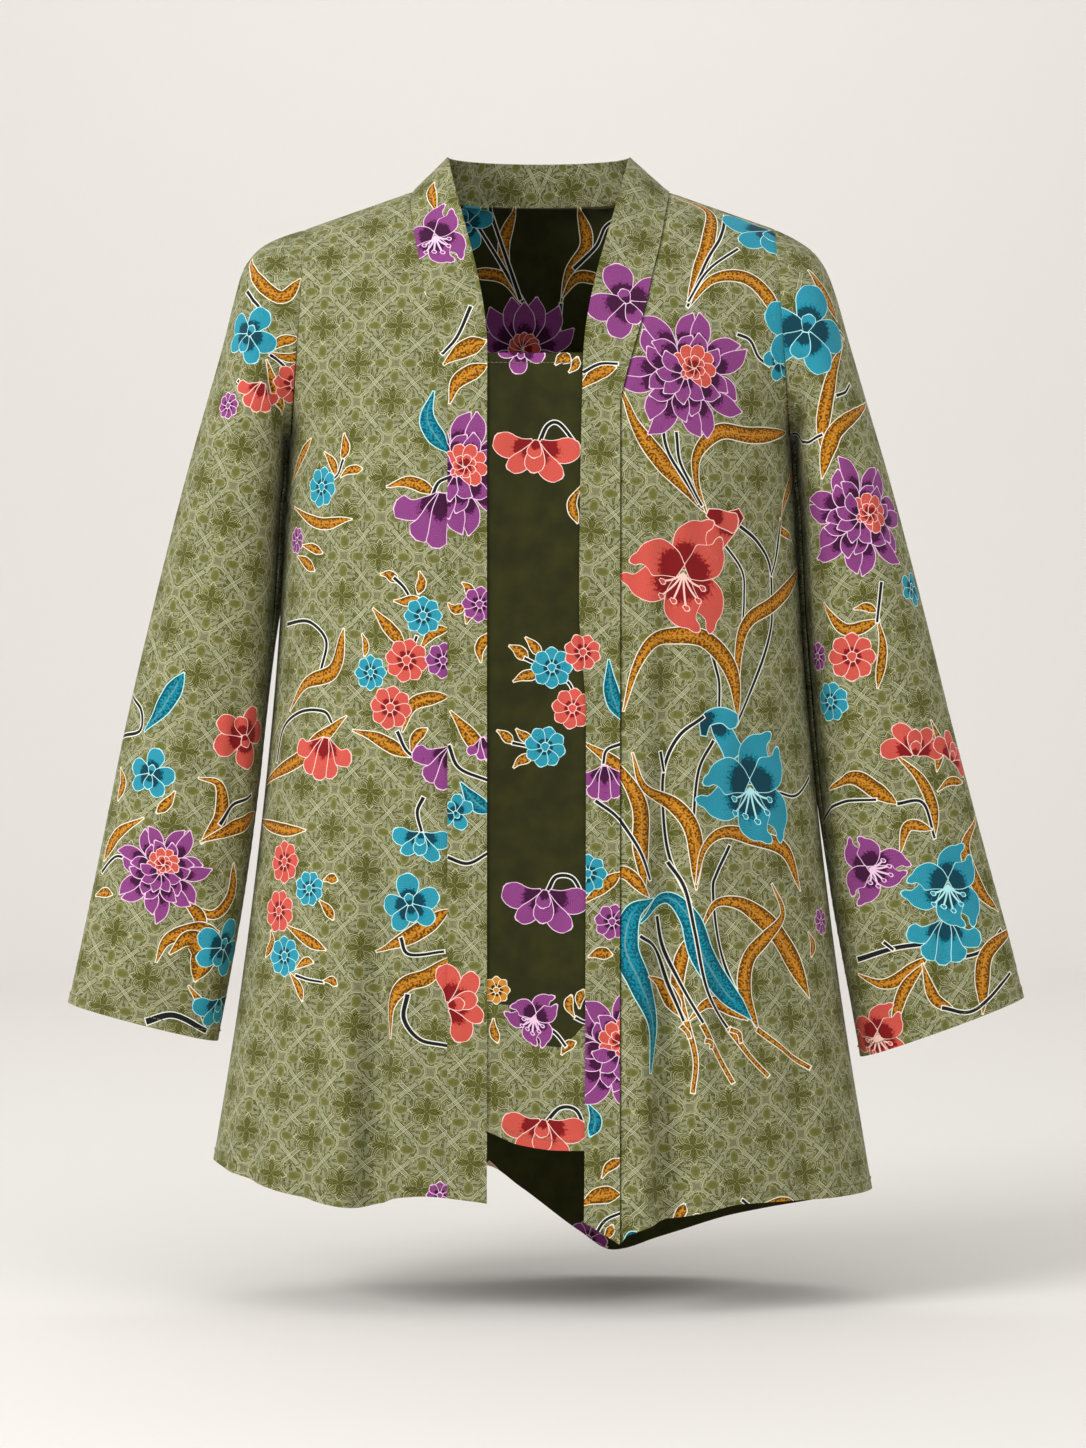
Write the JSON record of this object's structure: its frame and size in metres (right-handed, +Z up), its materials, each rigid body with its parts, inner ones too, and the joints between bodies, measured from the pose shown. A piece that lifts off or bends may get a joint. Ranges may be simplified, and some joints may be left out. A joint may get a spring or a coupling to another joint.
{
  "type": "kebaya",
  "caption": "Long batik cotton kebaya with kutubaru front: open V neck with straight bands, narrow inner panel, long set-in sleeves, filled out as worn and hollow.",
  "frame": {"origin": "midway between the two points where the shoulder seams reach the neck band", "axes": "+Z up, -Y to the front of the garment, +X to the right as seen from the front"},
  "size_m": [0.7245, 0.2327, 0.8476],
  "materials": {
    "sage_batik": "matte printed batik cotton, sage and olive ground",
    "dark_ground_batik": "matte printed batik cotton, dark olive ground"
  },
  "bodies": {
    "root": {"back": "dark_ground_batik", "front_left": "sage_batik", "front_right": "sage_batik", "sleeve_left": "sage_batik", "sleeve_right": "sage_batik", "band_left": "sage_batik", "band_right": "sage_batik", "inner_panel": "dark_ground_batik"}
  },
  "joints": []
}
